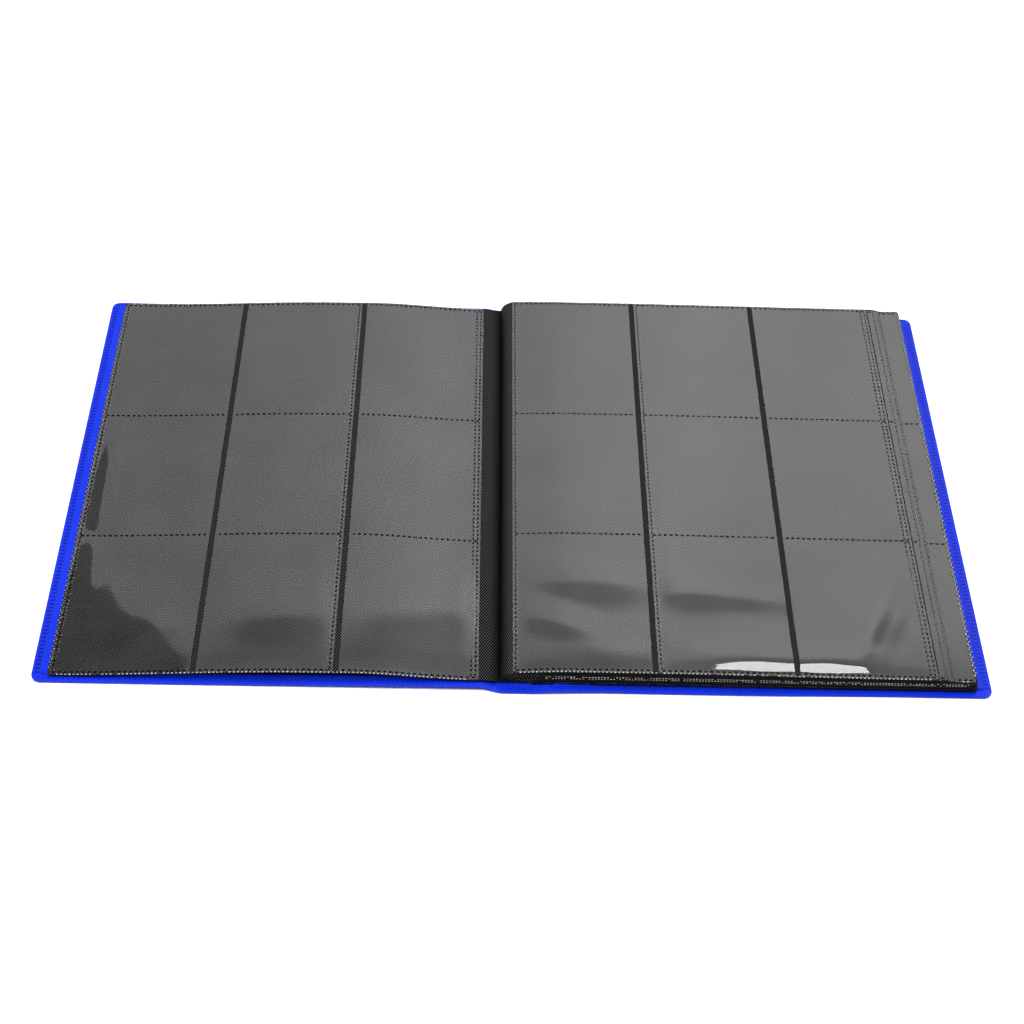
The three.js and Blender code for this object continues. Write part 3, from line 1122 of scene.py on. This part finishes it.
def build_album():
    """Every piece, from the covers to the boards inside them."""
    cover_panel("back", 1, back_lift)
    cover_panel("front", -1, front_lift)
    spine_panel()
    hinge_piece("back", 1, back_lift)
    hinge_piece("front", -1, front_lift)
    for k in range(1, PAGE_COUNT + 1):
        page_sheet(k)
    margins()
    for k in (1, 2, 3, 4, 5):
        for side in (1, -1):
            page_side(k, side)
    for k in (6, 11, 16):
        page_side(k, 1)
    for k in (10, 15, 20):
        page_side(k, -1)
    board_piece("back_board", "back_cover", BOARD_INNER, BOARD_OUTER, back_lift)
    board_piece("front_board", "front_cover", -BOARD_OUTER, -BOARD_INNER, front_lift)
    board_piece("spine_board", "spine", -SPINE_BOARD_HALF, SPINE_BOARD_HALF, lambda x: 0.0)
    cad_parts["binding_tape"].data.materials[0] = TAPE


# --- studio -----------------------------------------------------------------------------------------------
CAMERA_AT = (-0.02272, -0.76405, 0.75072)
CAMERA_AIM = (-0.0008, -0.02188, 0.0)
CAMERA_ROLL = math.radians(2.305)
CAMERA_LENS = 69.22

# (place along the screen, brightness there), from its left end to its right and from its foot up
SCREEN_ACROSS = ((0.05, 0.42), (0.34, 0.68), (0.48, 0.93), (0.56, 0.85), (0.65, 0.86), (0.9, 0.75))
SCREEN_UP = ((0.12, 0.9), (0.27, 1.0), (0.46, 1.0), (0.55, 0.5), (0.75, 0.32), (1.0, 0.12))

FLOOR_HALF = 6.0
WORLD_LIGHT = 0.16


def camera():
    """A long lens above the near edge, turned a little round its own axis."""
    data = bpy.data.cameras.new("camera")
    data.sensor_width = 36
    data.lens = CAMERA_LENS
    data.clip_end = 20
    obj = bpy.data.objects.new("camera", data)
    bpy.context.scene.collection.objects.link(obj)
    place = Vector(CAMERA_AT)
    look = (Vector(CAMERA_AIM) - place).to_track_quat("-Z", "Y").to_matrix().to_4x4()
    roll = Matrix.Rotation(CAMERA_ROLL, 4, "Z")
    obj.matrix_world = Matrix.Translation(place) @ look @ roll
    bpy.context.scene.camera = obj


def area_light(name, at, target, size, power, mirrored=False):
    """A soft light aimed at a point. Only a mirrored one can be seen reflected in the films."""
    data = bpy.data.lights.new(name, "AREA")
    data.shape = "RECTANGLE"
    data.size, data.size_y = size
    data.energy = power
    obj = bpy.data.objects.new(name, data)
    bpy.context.scene.collection.objects.link(obj)
    obj.location = at
    obj.rotation_euler = (Vector(target) - Vector(at)).to_track_quat("-Z", "Y").to_euler()
    obj.visible_glossy = mirrored


def stage_sheet(name, corners, material, at):
    """A flat sheet of the studio, which isn't part of the album."""
    mesh = bpy.data.meshes.new(name)
    mesh.from_pydata(corners, [], [(0, 1, 2, 3)])
    mesh.materials.append(material)
    sheet = bpy.data.objects.new(name, mesh)
    sheet.location = at
    bpy.context.scene.collection.objects.link(sheet)


def glow_panel(name, at, size, strength):
    """An upright lit panel behind the album, dimmer towards its left end and fading upwards."""
    n = Nodes(name)
    split = n.add("ShaderNodeSeparateXYZ")
    n.join(n.coords(), "Generated", split, "Vector")
    across = n.ramp(split, "X", [(place, grey(tone)) for place, tone in SCREEN_ACROSS])
    up = n.ramp(split, "Z", [(place, grey(tone)) for place, tone in SCREEN_UP])
    both = n.add("ShaderNodeMix", data_type="RGBA", blend_type="MULTIPLY")
    both.inputs[0].default_value = 1.0
    n.join(across, "Color", both, 6)
    n.join(up, "Color", both, 7)
    glow = n.add("ShaderNodeEmission", Strength=strength)
    n.join(both, 2, glow, "Color")
    n.join(glow, 0, n.output, "Surface")
    w, h = size[0] / 2, size[1] / 2
    stage_sheet(name, [(-w, 0, -h), (w, 0, -h), (w, 0, h), (-w, 0, h)], n.material, at)


def studio():
    """A pale floor, a large white screen behind the album and soft light from above."""
    n = Nodes("floor_white")
    cloud = n.noise(n.coords(), 3.0)
    tone = n.ramp(cloud, "Fac", [(0.0, grey(0.93)), (1.0, grey(0.95))])
    shader = n.add("ShaderNodeBsdfDiffuse")
    n.join(tone, "Color", shader, "Color")
    n.join(shader, 0, n.output, "Surface")
    f = FLOOR_HALF
    stage_sheet("floor", [(-f, -f, 0), (f, -f, 0), (f, f, 0), (-f, f, 0)], n.material, (0, 0, -0.0004))

    glow_panel("back_screen", (0.285, 1.05, 1.385), (1.74, 1.83), 2.1)
    area_light("glare_strip", (0.46, 0.62, 1.6), (0.13, -0.14, 0.0), (0.56, 0.46), 7.0, mirrored=True)
    area_light("top_key", (-0.3, -0.4, 1.9), (0, 0, 0), (1.6, 1.2), 50)
    area_light("left_fill", (-1.6, -0.3, 1.1), (0, 0, 0), (1.0, 1.0), 8)
    area_light("right_fill", (1.6, -0.2, 1.2), (0, 0, 0), (1.0, 1.0), 8)

    world = bpy.data.worlds.new("studio")
    bpy.context.scene.world = world
    world.use_nodes = True
    background = world.node_tree.nodes["Background"]
    background.inputs[0].default_value = (1, 1, 1, 1)
    background.inputs[1].default_value = WORLD_LIGHT
    bpy.context.scene.view_settings.view_transform = "Standard"


camera()
build_album()
studio()
